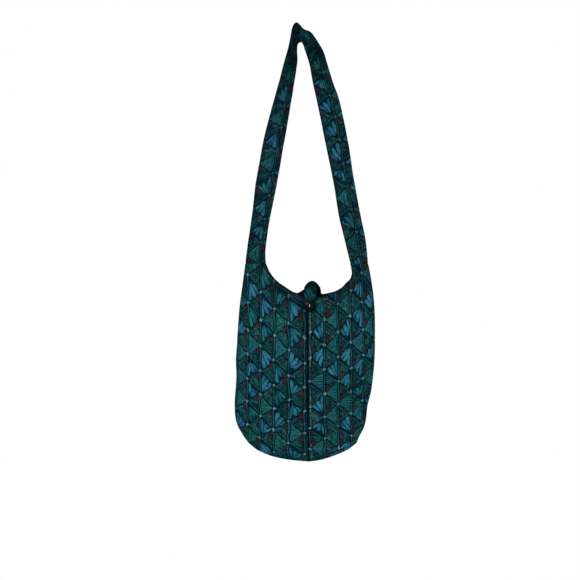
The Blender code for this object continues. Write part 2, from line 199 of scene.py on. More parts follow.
# Slow waves of the strap: height, how many across its half width, length along it, where they start
STRAP_WAVES = ((0.0016, 1.3, 0.035, 4.2), (0.0022, 0.6, 0.11, 9.6))

# Tab over the mouth, as the CAD has it
TAB_WIDTH = 0.0352
TAB_BACK_X = 0.0228
TAB_FRONT_X = 0.0120
TAB_ROOT = 0.022
TAB_TURN = 0.009
TAB_HEIGHT = 0.0405
TAB_END = 0.0095
TAB_END_ROUND = 0.007
TAB_EDGE_DROOP = 0.42
TAB_CROWN = 0.0024
TAB_LENGTH = 0.115
TAB_INSIDE = 0.0037
TAB_OUTSIDE = 0.0012
TAB_RUCK = 0.0012
TAB_NARROWING = 0.10
# The shares of the tab's length where it comes out of the mouth and where it turns down on the front,
# and how far its arch leans back and forward
TAB_LEAVES, TAB_TURNS = 0.2, 0.86
TAB_LEANS = (0.003, 0.006)

# Button
BUTTON_X = 0.0108
BUTTON_Z = -0.6995
CLOSURE_REACH = (0.022, 0.058)

# Waves of the body's cloth: height and length
SLOW_WAVE = (0.0016, 0.042)
SMALL_WAVE = (0.0007, 0.017)
SEAM_PUCKER = (0.0007, 0.0075)
PUCKER_REACH = 0.008
SEAM_GROOVE = (0.0011, 0.0022)

# Settling of the cloth: frames, how far a point may move at most, the share of its weight, how firmly
# the seam is held, how shallow the body may be before and after, and how the cloth behaves
SETTLE_FRAMES = 36
SETTLE_CAP = 0.0065
SETTLE_GRAVITY = 0.5
SEAM_HOLD = 0.12
SHALLOWEST = 0.0009
SETTLED_SHALLOWEST = 0.0007
CLOTH_FEEL = {
    "quality": 6, "mass": 0.25, "tension_stiffness": 18, "compression_stiffness": 18,
    "shear_stiffness": 8, "bending_stiffness": 0.9, "vertex_group_mass": "held", "shrink_min": -0.020,
    "use_pressure": True, "uniform_pressure_force": 0.35,
}

# Words for the two halves and the two faces of the body
SIDE_WORDS = {-1: "left", 1: "right"}
FACE_WORDS = {1: "front", -1: "back"}

# The strap's cloth as it was cut: its width; its two lengths are worked out below
STRAP_FLAT_WIDTH = 0.112

# The lining stops short of the panels' edges: rows left out below and above, its drop at the mouth, its
# gap at the sides, how shallow it may be, and how near its halves are where they join
LINING_SKIPS = (2, 3)
LINING_TOP_DROP = 0.0016
LINING_SIDE_GAP = 0.0016
LINING_SHALLOWEST = 0.00035
LINING_JOIN = 0.00005

# How finely each surface is divided
COLUMNS = 26
BODY_ROWS = 54
MOUTH_ROWS = 20
ROWS = BODY_ROWS + MOUTH_ROWS
EDGE_CROWDING = 0.35
STRAP_AROUND = 26
STRAP_STEP = 0.0045
TAB_COLUMNS = 10
TAB_ROWS = 44

# Print: the spacing of its columns and rows, the petals of a triangle (centre, radii and tilt), on each
# half of the front where its columns start, how they spread, its lowest row and its sag, how the rows
# spread upwards, and the thickness of a thread
PRINT_COLUMN = 0.0366
PRINT_ROW = 0.0587
PETALS = (
    ((27.0, -0.5), (3.0, 5.5), 50),
    ((20.0, -8.6), (3.7, 13.0), -42),
    ((4.9, 4.0), (4.4, 21.0), -7),
    ((12.8, -3.6), (4.5, 17.0), -24),
)
PRINT_LAYS = {-1: (-0.0019, 24.0, 27.0, -1.0712, 0.99), 1: (0.0118, 26.1, 29.5, -1.0573, 0.50)}
ROW_NEAR, ROW_FAR = 18.77, -5.8
THREAD = 0.00075

# Print on the strap's two lengths, which way up and from where, and on the tab: scale and start
STRAP_PRINTS = {"strap_left": (1, 0.32, 0.0), "strap_right": (-1, 0.20, 0.35)}
TAB_PRINT_SCALE = (0.88, 1.9)
TAB_PRINT_START = (1.04, -0.71)

# Marks in the seams map that say which piece the cloth is on, for its print and its painted shade
ON_STRAP = 2.0
ON_TAB = 3.0

# Painted highlights on the creases beside the button: from, to, half width
CREASE_HIGHLIGHTS = metres((
    ((27, -691), (39, -686.2), 2.6),
    ((43, -683.8), (59, -681.5), 2.1),
    ((57, -683.5), (77, -692.5), 1.2),
    ((52, -690), (69, -698.5), 1.1),
    ((50, -696.5), (62, -704), 1),
    ((-25, -672.2), (-7, -674.2), 1.6),
))

# Light: name, place, size, watts and tint of each lamp, and the level they all point at
LAMPS = (
    ("key", (-1.5, -2.2, 0.6), 1.2, 56, (1.0, 0.985, 0.96)),
    ("fill", (2.0, -1.8, -0.4), 1.6, 12, (0.95, 0.98, 1.0)),
    ("back", (0.6, 2.6, 0.5), 1.4, 44, (1.0, 1.0, 1.0)),
)
LAMP_TARGET = (0, 0, -0.7)
FLOOR_GLOW = 0.42
FLOOR_SIZE = 8.4
FLOOR_Z = -2.2
AMBIENT = 0.34


def lerp(a, b, share):
    return a + (b - a) * share


def smooth(share):
    share = min(1, max(0, share))
    return share * share * (3 - 2 * share)


def bell(value):
    """1 at 0, falling away on both sides of it."""
    return math.exp(-(value**2))


def through(points):
    """A smooth curve through these points, as a function of the share of its length."""
    spots = [Vector(point) for point in points]
    marks = [0]
    for a, b in zip(spots, spots[1:]):
        marks.append(marks[-1] + (b - a).length)
    total = marks[-1]
    slopes = []
    for index, spot in enumerate(spots):
        low, high = max(0, index - 1), min(len(spots) - 1, index + 1)
        slopes.append((spots[high] - spots[low]) / (marks[high] - marks[low]))

    def at(share):
        along = min(total, max(0, share * total))
        index = min(len(spots) - 2, int(np.searchsorted(marks, along, side="right")) - 1)
        span = marks[index + 1] - marks[index]
        t = (along - marks[index]) / span
        a, b = spots[index], spots[index + 1]
        p, q = slopes[index] * span, slopes[index + 1] * span
        return (
            a * (2 * t**3 - 3 * t**2 + 1) + p * (t**3 - 2 * t**2 + t) + b * (3 * t**2 - 2 * t**3)
            + q * (t**3 - t**2)
        )

    return at


seam_at = through(SEAM)
SIDES = {-1: through(LEFT_SIDE), 1: through(RIGHT_SIDE)}
BOTTOMS = {-1: through(LEFT_BOTTOM), 1: through(RIGHT_BOTTOM)}
MOUTHS = {key: through(metres(points)) for key, points in MOUTH_TABLES.items()}


def level_share(curve, z, rising=False):
    """How far along a falling or a rising curve it comes to a level."""
    low, high = 0, 1
    for _ in range(30):
        middle = (low + high) / 2
        before = curve(middle).y < z if rising else curve(middle).y > z
        low, high = (middle, high) if before else (low, middle)
    return low


SHOULDERS = {side: level_share(SIDES[side], SHOULDER_Z) for side in SIDES}


def body_place(side, face, across, down):
    """(x, z) in the body below the mouth: across from the seam to the side, down from the mouth."""
    shoulder = SHOULDERS[side]
    seam_top = MOUTHS[side, face](0)
    seam = lerp(seam_top, seam_at(1), down)
    seam.x = seam_at(down).x
    edge = SIDES[side](lerp(shoulder, 1, down))
    top = lerp(seam_top, SIDES[side](shoulder), across)
    bottom = BOTTOMS[side](across)
    corner_mix = lerp(top, lerp(seam_at(1), SIDES[side](1), across), down)
    return lerp(top, bottom, down) + lerp(seam, edge, across) - corner_mix


def mouth_place(side, face, across, up):
    """(x, z) beside the mouth, up from its middle to the strap's foot."""
    inner = MOUTHS[side, face](up)
    outer = SIDES[side](lerp(SHOULDERS[side], 0, up))
    return lerp(inner, outer, across)


def belly_at(z):
    """How far the middle of a side stands out at a level."""
    if z < BELLY_Z:
        share = (BELLY_Z - z) / (BELLY_Z - BOTTOM_Z)
        return BELLY * max(0, 1 - share**2) ** 2
    share = (z - BELLY_Z) / (FOOT_Z - BELLY_Z)
    return BELLY * max(0, 1 - share**2) ** BELLY_TOP_POWER


def depth_at(share, z):
    """Distance from the middle plane at a share of the way from the seam to the side."""
    return EDGE_DEPTH + belly_at(z) * (1 - share**2) ** 2


def edge_x(side, z):
    """The body's outline at a level."""
    if z > LEFT_SIDE[-1][1]:
        return SIDES[side](level_share(SIDES[side], z)).x
    return BOTTOMS[side](level_share(BOTTOMS[side], z, rising=True)).x


def seam_x(z):
    return seam_at((MOUTH_Z - z) / (MOUTH_Z - BOTTOM_Z)).x


def fold_height(folds, x, z):
    """How far the pressed folds raise the cloth at a place."""
    total = 0
    for (ax, az), (bx, bz), width, height in folds:
        dx, dz = bx - ax, bz - az
        length2 = dx * dx + dz * dz
        along = ((x - ax) * dx + (z - az) * dz) / length2
        t = min(1, max(0, along))
        off = math.hypot(x - ax - dx * t, z - az - dz * t)
        fade = math.sin(math.pi * (0.12 + 0.86 * t)) ** 0.8
        beside = ((x - ax) * dz - (z - az) * dx) / math.sqrt(length2)
        hollow = FOLD_HOLLOW * bell((beside - HOLLOW_PLACE * width) / width)
        hollow *= bell(off / (HOLLOW_REACH * width))
        total += height * fade * (bell(off / width) - hollow)
    return total


def soft_noise(x, z, seed, scale):
    return noise.noise(Vector((x / scale + seed, z / scale, seed)))


def near_closure(x, z):
    """1 by the button, falling to 0 away from it, where the cloth keeps to the CAD's place."""
    low, high = CLOSURE_REACH
    away = math.hypot(x - BUTTON_X, z - BUTTON_Z)
    return 1 - smooth((away - low) / (high - low))


def relief(side, face, x, z, across):
    """Folds, seam puckers and slow waves, as a height outwards."""
    from_seam = abs(x - seam_x(z))
    height = fold_height(FRONT_FOLDS if face > 0 else BACK_FOLDS, x, z)
    height += SLOW_WAVE[0] * soft_noise(x, z * 0.55, 3.1 * face, SLOW_WAVE[1])
    height += SMALL_WAVE[0] * soft_noise(x, z, 7.7 * face, SMALL_WAVE[1])
    if z < MOUTH_Z:
        pucker = SEAM_PUCKER[0] * soft_noise(0.3 * x, z, 11.3, SEAM_PUCKER[1])
        height += pucker * math.exp(-from_seam / PUCKER_REACH)
        height -= SEAM_GROOVE[0] * bell(from_seam / SEAM_GROOVE[1])
    height *= smooth((1 - across) / 0.10)
    return height * (1 - near_closure(x, z)) if face > 0 else height


def print_place(side, face, x, z):
    """Where a place on the body falls on the print, in columns and rows."""
    start, near, far, low, sag = PRINT_LAYS[side]
    out = side * (x - start)
    columns = near * out + far * out * max(0, out)
    up = z - low - sag * out * out
    rows = ROW_NEAR * up + ROW_FAR * up * up
    if face < 0:
        columns, rows = columns + 2, rows + 1
    return -columns, (rows if side < 0 else 1 - rows)


MOUTH_SAMPLES = {
    key: np.array([tuple(curve(up / 60)) for up in range(61)]) for key, curve in MOUTHS.items()
}


def mouth_distance(side, face, x, z):
    away = MOUTH_SAMPLES[side, face] - np.array((x, z))
    return float(np.sqrt((away**2).sum(axis=1)).min())


def body_grid(side, face):
    """A panel's points row by row from the bottom, and what its cloth carries at each."""
    points, prints, edges, seams = [], [], [], []
    for row in range(ROWS + 1):
        for column in range(COLUMNS + 1):
            across = column / COLUMNS
            across = lerp(across, 1 - (1 - across) ** 1.5, EDGE_CROWDING)
            if row <= BODY_ROWS:
                x, z = body_place(side, face, across, 1 - row / BODY_ROWS)
            else:
                x, z = mouth_place(side, face, across, (row - BODY_ROWS) / MOUTH_ROWS)
            border, middle = edge_x(side, z), seam_x(z)
            depth = 0
            if column < COLUMNS and row > 0:
                share = min(1, abs(x - middle) / max(0.001, abs(border - middle)))
                raised = relief(side, face, x, z, max(across, 1 - row / 6 if row < 6 else 0))
                depth = max(depth_at(share, z) + raised, SHALLOWEST)
            points.append((x, -face * depth, z))
            prints.append(print_place(side, face, x, z))
            edges.append((mouth_distance(side, face, x, z), z - FOOT_Z))
            seams.append((abs(x - middle) if row <= BODY_ROWS else 1.0, abs(border - x)))
    return np.array(points), prints, edges, seams


def weld(grids):
    """One list of points for all panels, and for each panel the place of its points in it."""
    known, welded, places = {}, [], {}
    for key, points in grids.items():
        spots = []
        for point in points:
            mark = tuple(round(float(value) * 1e6) for value in point)
            if mark not in known:
                known[mark] = len(welded)
                welded.append(tuple(point))
            spots.append(known[mark])
        places[key] = np.array(spots)
    return np.array(welded), places


def grid_faces(columns, rows, flip):
    faces = []
    for row in range(rows):
        for column in range(columns):
            a = row * (columns + 1) + column
            face = (a, a + 1, a + columns + 2, a + columns + 1)
            faces.append(face[::-1] if flip else face)
    return faces


def new_piece(name, points, faces):
    mesh = bpy.data.meshes.new(name)
    mesh.from_pydata([tuple(point) for point in points], [], faces)
    mesh.update()
    mesh.shade_smooth()
    made = bpy.data.objects.new(name, mesh)
    bpy.context.scene.collection.objects.link(made)
    return made


def add_maps(piece, prints, edges, seams):
    """UV maps of each point: its place on the print, and how far it is from edges and from seams."""
    for name, places in (("print", prints), ("edges", edges), ("seams", seams)):
        layer = piece.data.uv_layers.new(name=name)
        for loop in piece.data.loops:
            layer.data[loop.index].uv = places[loop.vertex_index]


def select_only(piece):
    bpy.ops.object.select_all(action="DESELECT")
    piece.select_set(True)
    bpy.context.view_layer.objects.active = piece


def turn_outwards(piece):
    """Makes the faces of a closed or nearly closed shape point out."""
    select_only(piece)
    bpy.ops.object.mode_set(mode="EDIT")
    bpy.ops.mesh.select_all(action="SELECT")
    bpy.ops.mesh.normals_make_consistent(inside=False)
    bpy.ops.object.mode_set(mode="OBJECT")


def apply_modifiers(piece):
    select_only(piece)
    for modifier in list(piece.modifiers):
        bpy.ops.object.modifier_apply(modifier=modifier.name)


def thicken(piece, thickness, levels=1, group=None, thin=1.0):
    """Gives a sheet its cloth, inwards, and rounds it."""
    if levels:
        finer = piece.modifiers.new("Finer", "SUBSURF")
        finer.levels = levels
        finer.render_levels = levels
        finer.boundary_smooth = "PRESERVE_CORNERS"
    shell = piece.modifiers.new("Cloth", "SOLIDIFY")
    shell.thickness = thickness
    shell.offset = -1
    if group:
        shell.vertex_group = group
        shell.thickness_vertex_group = thin
    rim = piece.modifiers.new("Rounded rim", "BEVEL")
    rim.width = RIM_ROUND
    rim.segments = 2
    rim.limit_method = "ANGLE"
    rim.angle_limit = math.radians(60)
    apply_modifiers(piece)


def settle(points, faces, held):
    """The cloth's points after it has settled a little under its weight, with its edges held."""
    piece = new_piece("settling", points, faces)
    group = piece.vertex_groups.new(name="held")
    for index, weight in enumerate(held):
        group.add([index], weight, "REPLACE")
    cloth = piece.modifiers.new("Settle", "CLOTH")
    for name, value in CLOTH_FEEL.items():
        setattr(cloth.settings, name, value)
    cloth.settings.effector_weights.gravity = SETTLE_GRAVITY
    cloth.collision_settings.use_collision = False
    scene = bpy.context.scene
    cloth.point_cache.frame_start = 1
    cloth.point_cache.frame_end = SETTLE_FRAMES
    for number in range(1, SETTLE_FRAMES + 1):
        scene.frame_set(number)
    settled = piece.evaluated_get(bpy.context.evaluated_depsgraph_get()).data
    after = np.array([tuple(vert.co) for vert in settled.vertices])
    bpy.data.objects.remove(piece)
    scene.frame_set(1)
    return after


def settle_body(grids):
    """Lets the four panels settle together, and puts the result back into each."""
    welded, places = weld(grids)
    faces, held = [], np.zeros(len(welded))
    for (side, face), spots in places.items():
        for quad in grid_faces(COLUMNS, ROWS, side * face < 0):
            faces.append(tuple(int(spots[corner]) for corner in quad))
        table = spots.reshape(ROWS + 1, COLUMNS + 1)
        seam = table[:BODY_ROWS, 0]
        for border in (table[:, COLUMNS], table[0, :], table[ROWS, :], table[BODY_ROWS:, 0]):
            held[border] = 1
        held[seam] = np.maximum(held[seam], SEAM_HOLD)
        if face > 0:
            for spot in spots:
                x, _, z = welded[spot]
                held[spot] = max(held[spot], near_closure(x, z))
    move = settle(welded, faces, held) - welded
    length = np.linalg.norm(move, axis=1)
    move *= (SETTLE_CAP * np.tanh(length / SETTLE_CAP) / np.maximum(length, 1e-9))[:, None]
    after = welded + move
    for (side, face), spots in places.items():
        grid = after[spots].copy()
        free = held[spots] < 1
        grid[free, 1] = -face * np.maximum(-face * grid[free, 1], SETTLED_SHALLOWEST)
        grids[side, face] = grid
    return grids


panels = {(side, face): body_grid(side, face) for side in (-1, 1) for face in (1, -1)}
grids = {key: parts[0] for key, parts in panels.items()}
grids = settle_body(grids)


# Materials
def linear(red, green, blue):
    """A screen colour, 0 to 255, as the light it stands for."""
    shares = [value / 255 for value in (red, green, blue)]
    return tuple(v / 12.92 if v <= 0.04045 else ((v + 0.055) / 1.055) ** 2.4 for v in shares) + (1,)


class Wire:
    """A value in a material's node tree; Python's operators on it add Math nodes."""

    def __init__(self, tree, socket):
        self.tree = tree
        self.socket = socket

    def node(self, kind, settings=None, inputs=None, output=0):
        """Any node: its settings are set first, then its sockets by name or number."""
        made = self.tree.nodes.new(kind)
        for name, value in (settings or {}).items():
            setattr(made, name, value)
        for name, value in (inputs or {}).items():
            if isinstance(value, Wire):
                self.tree.links.new(value.socket, made.inputs[name])
            else:
                made.inputs[name].default_value = value
        return Wire(self.tree, made.outputs[output])

    def beside(self, output):
        """Another output of the node that this value comes from."""
        return Wire(self.tree, self.socket.node.outputs[output])

    def parts(self):
        """The x, y and z of a place."""
        x = self.node("ShaderNodeSeparateXYZ", {}, {0: self})
        return x, x.beside(1), x.beside(2)

    def math(self, operation, *values):
        return self.node("ShaderNodeMath", {"operation": operation}, dict(enumerate(values)))

    def __add__(self, other):
        return self.math("ADD", self, other)

    def __sub__(self, other):
        return self.math("SUBTRACT", self, other)

    def __mul__(self, other):
        return self.math("MULTIPLY", self, other)

    def __truediv__(self, other):
        return self.math("DIVIDE", self, other)

    def __rsub__(self, other):
        return self.math("SUBTRACT", other, self)

    def __rtruediv__(self, other):
        return self.math("DIVIDE", other, self)

    __radd__ = __add__
    __rmul__ = __mul__

    def floor(self):
        return self.math("FLOOR", self)

    def off_whole(self):
        """How far above or below the nearest whole number it is."""
        return self - self.math("ROUND", self)

    def to_whole(self):
        """Distance to the nearest whole number."""
        return self.math("PINGPONG", self, 0.5)

    def size(self):
        return self.math("ABSOLUTE", self)

    def sine(self):
        return self.math("SINE", self)

    def length_with(self, other):
        return self.math("SQRT", self * self + other * other)

    def above(self, level):
        return self.math("GREATER_THAN", self, level)

    def most(self, other):
        return self.math("MAXIMUM", self, other)

    def rise(self, low, high):
        """0 below low, 1 above high and smooth between; it falls where low is the higher one."""
        settings = {"interpolation_type": "SMOOTHSTEP", "clamp": True}
        return self.node("ShaderNodeMapRange", settings, {0: self, 1: low, 2: high})

    def line(self, centre, half, soft):
        """1 within half of a centre, fading over soft."""
        return (self - centre).size().rise(half + soft, half)

    def between(self, low, high, soft):
        return self.rise(low - soft, low) * self.rise(high + soft, high)

    def colour(self, base, paint):
        """base painted over where this value is 1; both are wires or screen colours."""
        settings = {"data_type": "RGBA", "clamp_factor": True}
        pair = [shade if isinstance(shade, Wire) else linear(*shade) for shade in (base, paint)]
        return self.node("ShaderNodeMix", settings, {0: self, 6: pair[0], 7: pair[1]}, 2)


def layered(base, *layers):
    """Paints laid over a base one after the other, each where its mask is 1."""
    for mask, paint in layers:
        base = mask.colour(base, paint)
    return base


def new_material(name, **constants):
    """A material, its surface shader with these constants and a wire to start from."""
    made = bpy.data.materials.new(name)
    made.use_nodes = True
    shader = made.node_tree.nodes["Principled BSDF"]
    for socket, value in constants.items():
        shader.inputs[socket.replace("_", " ")].default_value = value
    return made, shader, Wire(made.node_tree, None)


def connect(shader, **wires):
    for name, wire in wires.items():
        wire.tree.links.new(wire.socket, shader.inputs[name.replace("_", " ")])


def paint_map(start, name):
    """A UV map and the two numbers in it."""
    place = start.node("ShaderNodeUVMap", {"uv_map": name})
    across, up, _ = place.parts()
    return place, across, up


def object_place(start):
    return start.node("ShaderNodeTexCoord", {}, {}, 3)


def noise_at(start, place, scale, detail=2.0, roughness=0.5, distortion=0.0):
    inputs = {"Vector": place, "Scale": scale, "Detail": detail}
    inputs |= {"Roughness": roughness, "Distortion": distortion}
    return start.node("ShaderNodeTexNoise", {}, inputs)


def waves_at(start, place, direction, scale, distortion):
    inputs = {"Vector": place, "Scale": scale, "Distortion": distortion}
    return start.node("ShaderNodeTexWave", {"bands_direction": direction}, inputs)


def bump_of(start, height, strength, distance):
    inputs = {"Strength": strength, "Distance": distance, "Height": height}
    return start.node("ShaderNodeBump", {}, inputs)


def random_at(start, x, y, z):
    """A number from 0 to 1 that is the same all over a cell."""
    cell = start.node("ShaderNodeCombineXYZ", {}, {0: x, 1: y, 2: z})
    return start.node("ShaderNodeTexWhiteNoise", {"noise_dimensions": "3D"}, {"Vector": cell})


def petal(x, y, centre, radii, tilt):
    """How far out in a petal a place is, 1 at its rim, and its share of the way across it."""
    cos, sin = math.cos(math.radians(tilt)), math.sin(math.radians(tilt))
    dx, dy = x - centre[0], y - centre[1]
    across = dx * cos + dy * sin
    along = dy * cos - dx * sin
    share = across / (radii[0] * (1 + along * (0.45 / radii[1])))
    return share.length_with(along / radii[1]), share


def crease(x, z, start, end, half):
    """1 on a short stroke from start to end, thinning to its ends: a painted highlight along a crease."""
    length = math.hypot(end[0] - start[0], end[1] - start[1])
    ahead_x, ahead_z = (end[0] - start[0]) / length, (end[1] - start[1]) / length
    along = (x - start[0]) * ahead_x + (z - start[1]) * ahead_z
    off = (x - start[0]) * -ahead_z + (z - start[1]) * ahead_x
    return off.size().rise(half * 1.8, half * 0.6) * (along / length).line(0.5, 0.25, 0.30)


def printed_cotton():
    """Batik cotton: a net of dotted lines, its triangles by turns bright with petals and dark."""
    made, shader, start = new_material("printed cotton", Specular_IOR_Level=0.0)
    place, columns, rows = paint_map(start, "print")
    _, from_mouth, from_end = paint_map(start, "edges")
    _, from_seam, from_side = paint_map(start, "seams")
    spot_x, spot_y, spot_z = object_place(start).parts()
    from_front = spot_y.rise(0.0, -0.004)
    on_tab = from_side.above((ON_STRAP + ON_TAB) / 2)
    on_strap = from_side.above(ON_STRAP / 2 + 0.5) - on_tab

    # Places on the print in columns and rows, and in millimetres from its lines and dots
    wander = noise_at(start, place, 2.1, 2.0)
    wander_2 = noise_at(start, place, 1.7, 2.0, 0.5, 1.0)
    sway = noise_at(start, place, 0.75, 1.0, 0.5, 0.6)
    columns = columns + (wander - 0.5) * 0.24 + (sway - 0.5) * 0.22
    rows = rows + (wander_2 - 0.5) * 0.24 - (sway - 0.5) * 0.20
    column_size, row_size = PRINT_COLUMN * 1000, PRINT_ROW * 1000
    rising = rows - columns * 0.5
    falling = rows + columns * 0.5
    cell_a, cell_b = rising.floor(), falling.floor()
    in_a, in_b = rising - cell_a, falling - cell_b
    across = in_b - in_a
    up = (in_a + in_b) * 0.5 - 0.5
    bright_side = across.above(0)
    from_column = columns.off_whole() * column_size
    span = row_size * 0.77
    from_rising, from_falling = rising.to_whole() * span, falling.to_whole() * span
    node_a, node_b = rising.off_whole(), falling.off_whole()
    from_dot = ((node_b - node_a) * column_size).length_with((node_a + node_b) * (row_size / 2))

    # Chance and clouds
    pick = random_at(start, cell_a, cell_b, bright_side)
    pick_2 = random_at(start, cell_a, cell_b, bright_side + 7)
    pick_3 = random_at(start, cell_a, cell_b, bright_side + 13)
    tiny = random_at(start, (columns * 12.0).floor(), (rows * 19.0).floor(), 5.0)
    square = random_at(start, (rising * 6.0).floor(), (falling * 6.0).floor(), 9.0)
    drift = noise_at(start, place, 0.42, 2.0, 0.5)
    blotch = noise_at(start, place, 1.3, 3.0, 0.6)
    mottle = noise_at(start, place, 6.5, 4.0, 0.65)
    fine = noise_at(start, place, 24.0, 3.0, 0.7)

    # Bright triangles: petals, dots, rays or strokes
    flip = pick_2.above(0.5) * 2 - 1
    y = up * flip * row_size
    x = across * column_size + (wander - 0.5) * 5 + y * (pick_3 - 0.5) * 0.5
    y = y * (0.82 + pick_3 * 0.5) + (pick - 0.3) * 14
    green_share = pick.rise(0.34, 0.60)
    petal_low = green_share.colour((14, 88, 118), (8, 84, 84))
    petal_high = green_share.colour((58, 134, 158), (46, 124, 122))
    bright = green_share.colour((2, 36, 54), (4, 40, 44))
    bright = (tiny.rise(0.5, 1.0) * 0.5).colour(bright, (30, 100, 112))
    for number, (centre, radii, tilt) in enumerate(PETALS):
        reach, share = petal(x, y, centre, radii, tilt)
        tone = random_at(start, cell_a, cell_b, number + 3.5)
        high = (tone.above(0.88) * 0.6).colour(petal_high, (44, 92, 146))
        lightness = (1.1 - reach * 0.6) + share * 0.3 + (tone - 0.5) * 1.3 + (mottle - 0.5) * 1.2
        body = reach.rise(1.04, 0.94)
        vein = (share * 1.5).to_whole().rise(0.14, 0.04)
        bright = layered(
            bright,
            (body, lightness.colour(petal_low, high)),
            (body * vein * 0.55, (2, 44, 70)),
            (reach.line(1.10, 0.10, 0.10) * 0.75, (0, 24, 38)),
        )
    grid_x, grid_y = columns * 7.6 + rows * 1.2, rows * 12.6
    speck_x, speck_y = grid_x.off_whole() * 4.8, grid_y.off_whole() * 4.7
    speck = (speck_x * speck_x + speck_y * speck_y).rise(2.9, 1.3)
    dotted = (mottle.rise(0.3, 0.7) * 0.8).colour((20, 88, 90), (56, 130, 146))
    dotted = (speck * 0.95).colour(dotted, (3, 24, 40))
    ray = (up / (1.04 - across).most(0.04)) * 8.0
    fan = (ray.to_whole().rise(0.16, 0.32) * 0.95).colour((4, 40, 52), (44, 118, 126))
    stroke = (columns * 8.5 + rows * 2.0).to_whole().rise(0.12, 0.28)
    streaked = (stroke * 0.85).colour((4, 44, 42), (26, 100, 96))
    streaked = (tiny.above(0.7) * 0.5).colour(streaked, (64, 144, 150))
    for level, paint in ((0.60, dotted), (0.79, fan), (0.88, streaked)):
        bright = pick.above(level).colour(bright, paint)

    # Dark triangles: a fine mosaic, hatching, lines along their sides and a wine wedge
    left = across * -column_size
    below = (0.5 - up) * row_size
    foot = below + left * 0.25
    hatch = (columns * 9.5).to_whole().rise(0.16, 0.05) * pick_3.above(0.45)
    inner_b, inner_a = in_b * span, (1 - in_a) * span
    under = below - left * (PRINT_ROW / 2 / PRINT_COLUMN)
    wedge = under.rise(1.2, 2.2) * left.rise(3.2, 4.0) * foot.rise(21.5, 19.5)
    wine = pick_2.rise(0.45, 0.75).colour((84, 18, 52), (52, 22, 24))
    patch = foot.line(23.5, 1.6, 1.2) * left.rise(3.0, 3.8) * left.rise(16.0, 14.0)
    dash = left.line(2.1, 0.5, 0.6) * below.between(5.5, 20.0, 1.5) * pick_2.above(0.35)
    dark = layered(
        pick_2.colour((9, 50, 44), (10, 42, 54)),
        (tiny.rise(0.15, 0.95) * (0.35 + mottle * 0.8), (58, 112, 112)),
        (square.rise(0.55, 0.95) * 0.55, (30, 106, 104)),
        (square.rise(0.34, 0.05) * 0.50, (2, 20, 34)),
        (blotch.rise(0.50, 0.38) * 0.45, (20, 30, 66)),
        (sway.rise(0.47, 0.38) * 0.35, (2, 18, 26)),
        (hatch * 0.85, (0, 14, 22)),
        (speck * pick.above(0.62) * 0.8, (3, 16, 24)),
        (inner_b.between(1.8, 3.2, 0.6), (2, 26, 32)),
        (inner_b.line(4.6, 0.6, 0.7) * fine.rise(0.35, 0.6) * 0.6, (60, 110, 118)),
        (inner_b.line(7.4, 0.6, 0.8) * 0.75, (4, 26, 34)),
        (inner_a.line(4.4, 0.6, 0.7) * pick_2.above(0.5) * 0.45, (58, 108, 108)),
        (wedge * (0.35 + pick_3 * 0.65), wine),
        (wedge * fine.rise(0.56, 0.40) * 0.55, (12, 8, 22)),
        (patch * 0.7, (8, 12, 24)),
        (dash * 0.85, (126, 150, 156)),
    )

    # Both together, with a plain band beside the seam
    ground = drift.rise(0.36, 0.62).colour((10, 60, 50), (8, 50, 70))
    colour = layered(
        bright_side.colour(dark, bright),
        (mottle.rise(0.56, 0.30) * 0.45, ground),
        (blotch.rise(0.54, 0.72) * 0.26, (4, 60, 46)),
        (from_seam.rise(0.0064, 0.0054), (7, 34, 44)),
        (from_seam.line(0.0036, 0.0006, 0.0005) * 0.5, (40, 74, 84)),
        (from_seam.rise(0.0020, 0.0009), (2, 12, 20)),
    )

    # The net: slanting lines, columns between pairs of dark lines, and dots where they cross
    ink = (0, 11, 19)
    worn = fine.rise(0.28, 0.55) * 0.40 + 0.60
    plain = 1 - on_strap * 0.55 - on_tab * 0.4
    net = from_rising.rise(1.8, 0.7).most(from_falling.rise(1.8, 0.7))
    beat = (rows * 6.5 + wander * 3.0).to_whole().rise(0.08, 0.22)
    middle = from_column.line(0, 0.8, 0.7) * beat * plain
    dot_paint = drift.rise(0.4, 0.6).colour((84, 138, 136), (104, 148, 164))
    colour = layered(
        colour,
        (net * worn * 0.95, ink),
        (from_column.line(-2.6, 1.0, 0.6) * worn * 0.95, (0, 7, 15)),
        (from_column.line(2.6, 1.1, 0.6) * worn * 0.95, (0, 7, 15)),
        (from_column.line(0, 1.3, 0.6) * (0.2 + mottle * 0.5), (22, 78, 84)),
        (middle * (0.03 + mottle.rise(0.44, 0.66) * 0.28), (92, 130, 142)),
        (from_dot.rise(5.6, 4.2) * 0.95, ink),
        (from_dot.rise(4.0, 2.9) * (0.65 + mottle * 0.4) * plain, dot_paint),
    )
